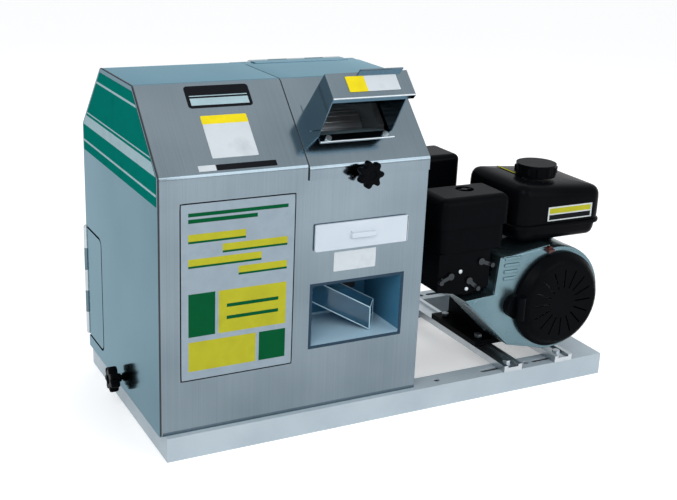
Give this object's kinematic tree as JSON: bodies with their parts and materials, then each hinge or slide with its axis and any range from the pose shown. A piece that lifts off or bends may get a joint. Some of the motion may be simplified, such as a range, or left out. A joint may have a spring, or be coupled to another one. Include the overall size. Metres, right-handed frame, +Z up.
{
  "type": "sugarcane juicer",
  "caption": "Sugarcane juicer: sloped stainless cabinet with grooved rollers, hinged hopper lid, strainer drawer and clear juice niche, belt driven by a small petrol engine on one base.",
  "frame": {"origin": "middle of the base frame's underside on the floor", "axes": "+X along the base rails from the cabinet to the engine, -Y towards the operator, +Z up"},
  "size_m": [0.871, 0.425, 0.5836],
  "materials": {
    "cabinet_steel": "brushed stainless sheet",
    "base_paint": "bluish white gloss paint",
    "zinc_steel": "zinc plated",
    "black_plastic": "moulded black",
    "white_plastic": "moulded white",
    "clear_acrylic": "clear bluish sheet",
    "roller_steel": "turned stainless",
    "mill_steel": "plain plate",
    "bronze": "turned bronze",
    "cast_iron": "painted casting",
    "belt_rubber": "plain rubber",
    "black_paint": "satin black paint",
    "cast_aluminium": "die cast",
    "red_plastic": "moulded red"
  },
  "bodies": {
    "frame": {"base_frame": "base_paint", "engine_rails": "zinc_steel", "hex_bolts": "zinc_steel", "cabinet_floor": "cabinet_steel", "left_side_panel": "cabinet_steel", "right_side_panel": "cabinet_steel", "front_panel": "cabinet_steel", "back_panel": "cabinet_steel", "divider_panel": "cabinet_steel", "left_cover": "cabinet_steel", "back_cover": "cabinet_steel", "fixed_hinge_leaves": "zinc_steel", "hinge_pins": "zinc_steel", "niche_box": "clear_acrylic", "juice_funnel": "cabinet_steel", "mill_frame": "mill_steel", "cheek_ties": "zinc_steel", "bearing_bushes": "bronze", "gearbox_housing": "cast_iron", "gearbox_stand": "base_paint", "drive_belt": "belt_rubber", "belt_guard": "black_paint", "engine_block": "cast_aluminium", "cylinder_head": "cast_aluminium", "rocker_cover": "black_paint", "spark_plug": "black_plastic", "fan_shroud": "cast_aluminium", "recoil_cover": "black_plastic", "fuel_tank": "black_paint", "cleaner_case": "black_plastic", "cleaner_cover": "black_plastic", "control_cover": "black_plastic", "carburettor": "cast_aluminium", "muffler": "black_paint", "muffler_guard": "black_paint"},
    "lid": {"roller_lid": "cabinet_steel", "feed_hopper": "cabinet_steel", "hopper_bolts": "zinc_steel"},
    "lid_knob": {"lid_knob": "black_plastic"},
    "side_knob": {"side_knob": "black_plastic"},
    "flap": {"access_flap": "cabinet_steel"},
    "drawer": {"drawer_front": "white_plastic", "strainer_tray": "cabinet_steel"},
    "chute": {"juice_chute": "clear_acrylic"},
    "top_roll": {"top_roller": "roller_steel", "top_gear": "mill_steel"},
    "feed_roll": {"feed_roller": "roller_steel", "feed_gear": "mill_steel"},
    "discharge_roll": {"discharge_roller": "roller_steel", "discharge_gear": "mill_steel"},
    "gearbox_input": {"driven_pulley": "cast_iron"},
    "crank": {"crankshaft": "mill_steel", "drive_pulley": "cast_iron"},
    "starter": {"starter_grip": "black_plastic"},
    "cap": {"fuel_cap": "black_plastic"},
    "throttle": {"throttle_lever": "zinc_steel"},
    "choke": {"choke_lever": "zinc_steel"},
    "fuel_cock": {"fuel_cock_lever": "zinc_steel"},
    "dipstick": {"oil_dipstick": "black_plastic"},
    "switch": {"stop_switch": "red_plastic"}
  },
  "joints": [
    {"name": "crank_spin", "type": "hinge", "parent": "frame", "child": "crank", "pos_m": [0.308, 0, 0.16], "axis": [0, 1, 0], "continuous": true},
    {"name": "input_spin", "type": "hinge", "parent": "frame", "child": "gearbox_input", "pos_m": [-0.293, 0, 0.38], "axis": [0, 1, 0], "continuous": true},
    {"name": "top_roll_spin", "type": "hinge", "parent": "frame", "child": "top_roll", "pos_m": [0, -0.025, 0.454], "axis": [1, 0, 0], "continuous": true},
    {"name": "feed_roll_spin", "type": "hinge", "parent": "frame", "child": "feed_roll", "pos_m": [0, -0.06994, 0.39648], "axis": [1, 0, 0], "continuous": true},
    {"name": "discharge_roll_spin", "type": "hinge", "parent": "frame", "child": "discharge_roll", "pos_m": [0, 0.01994, 0.39648], "axis": [1, 0, 0], "continuous": true},
    {"name": "lid_hinge", "type": "hinge", "parent": "frame", "child": "lid", "pos_m": [-0.088, 0.0889, 0.55317], "axis": [-1, 0, 0], "range_deg": [0, 100]},
    {"name": "lid_knob_turn", "type": "hinge", "parent": "frame", "child": "lid_knob", "pos_m": [-0.099, -0.202, 0.43], "axis": [0, -1, 0], "range_deg": [-360, 360]},
    {"name": "side_knob_turn", "type": "hinge", "parent": "frame", "child": "side_knob", "pos_m": [-0.43, 0, 0.058], "axis": [-1, 0, 0], "range_deg": [-360, 360]},
    {"name": "flap_hinge", "type": "hinge", "parent": "frame", "child": "flap", "pos_m": [-0.427, 0.1945, 0.163], "axis": [0, 0, -1], "range_deg": [0, 105]},
    {"name": "drawer_slide", "type": "slide", "parent": "frame", "child": "drawer", "axis": [0, -1, 0], "range_m": [0, 0.2]},
    {"name": "chute_slide", "type": "slide", "parent": "frame", "child": "chute", "axis": [0, -1, 0], "range_m": [0, 0.14]},
    {"name": "starter_pull", "type": "slide", "parent": "frame", "child": "starter", "axis": [0, -1, 0], "range_m": [0, 0.6], "stiffness_N_per_m": 10, "springref_m": -0.1},
    {"name": "fuel_cap_turn", "type": "hinge", "parent": "frame", "child": "cap", "pos_m": [0.299, -0.11, 0.374], "axis": [0, 0, 1], "range_deg": [0, 90]},
    {"name": "throttle_turn", "type": "hinge", "parent": "frame", "child": "throttle", "pos_m": [0.15, -0.174, 0.246], "axis": [0, -1, 0], "range_deg": [-20, 38]},
    {"name": "choke_turn", "type": "hinge", "parent": "frame", "child": "choke", "pos_m": [0.09, -0.174, 0.226], "axis": [0, -1, 0], "range_deg": [-30, 35]},
    {"name": "fuel_cock_turn", "type": "hinge", "parent": "frame", "child": "fuel_cock", "pos_m": [0.128, -0.174, 0.214], "axis": [0, -1, 0], "range_deg": [0, 85]},
    {"name": "dipstick_turn", "type": "hinge", "parent": "frame", "child": "dipstick", "pos_m": [0.365, 0.006, 0.108], "axis": [1, 0, 0], "range_deg": [-360, 360]},
    {"name": "stop_switch_turn", "type": "hinge", "parent": "frame", "child": "switch", "pos_m": [0.284, -0.184, 0.255], "axis": [0, -1, 0], "range_deg": [0, 45]}
  ],
  "couplings": [
    {"joint": "input_spin", "follows": "crank_spin", "ratio": 0.43182},
    {"joint": "top_roll_spin", "follows": "crank_spin", "ratio": 0.007197},
    {"joint": "feed_roll_spin", "follows": "crank_spin", "ratio": -0.007197},
    {"joint": "discharge_roll_spin", "follows": "crank_spin", "ratio": -0.007197}
  ]
}
